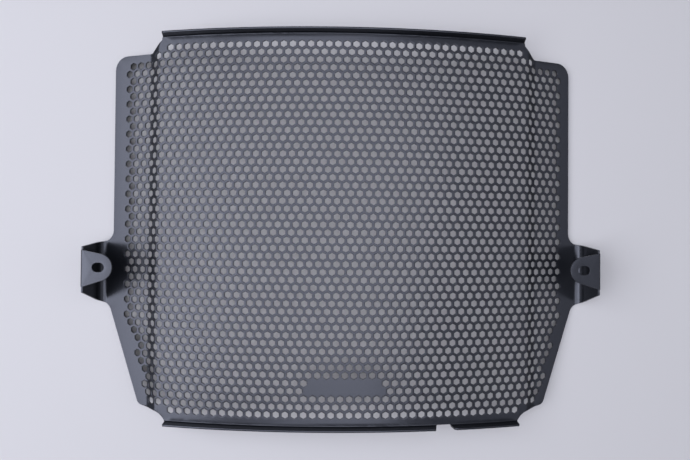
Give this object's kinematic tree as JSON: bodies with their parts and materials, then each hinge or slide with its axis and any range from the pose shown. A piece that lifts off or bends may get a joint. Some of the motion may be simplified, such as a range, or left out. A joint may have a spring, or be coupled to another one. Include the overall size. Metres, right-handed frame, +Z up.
{
  "type": "motorcycle radiator guard",
  "caption": "Rolled sheet metal guard with hexagonal perforations, folded lips top and bottom, creased side wings and two folded side brackets with slotted ears.",
  "frame": {"origin": "bottom centre of the overall box: on the surface that the guard lies on, midway between the ears and midway between the lips", "axes": "+Z up, from the surface it lies on towards the side that faces the radiator; +X along the length, with the notch of the lip on the +X side; +Y towards the straight-cornered top of the wings, away from the notched lip"},
  "size_m": [0.3988, 0.3052, 0.0395],
  "materials": {
    "coated_sheet": "satin black powder coat, very fine orange peel"
  },
  "bodies": {
    "root": {"guard_sheet": "coated_sheet"}
  },
  "joints": []
}
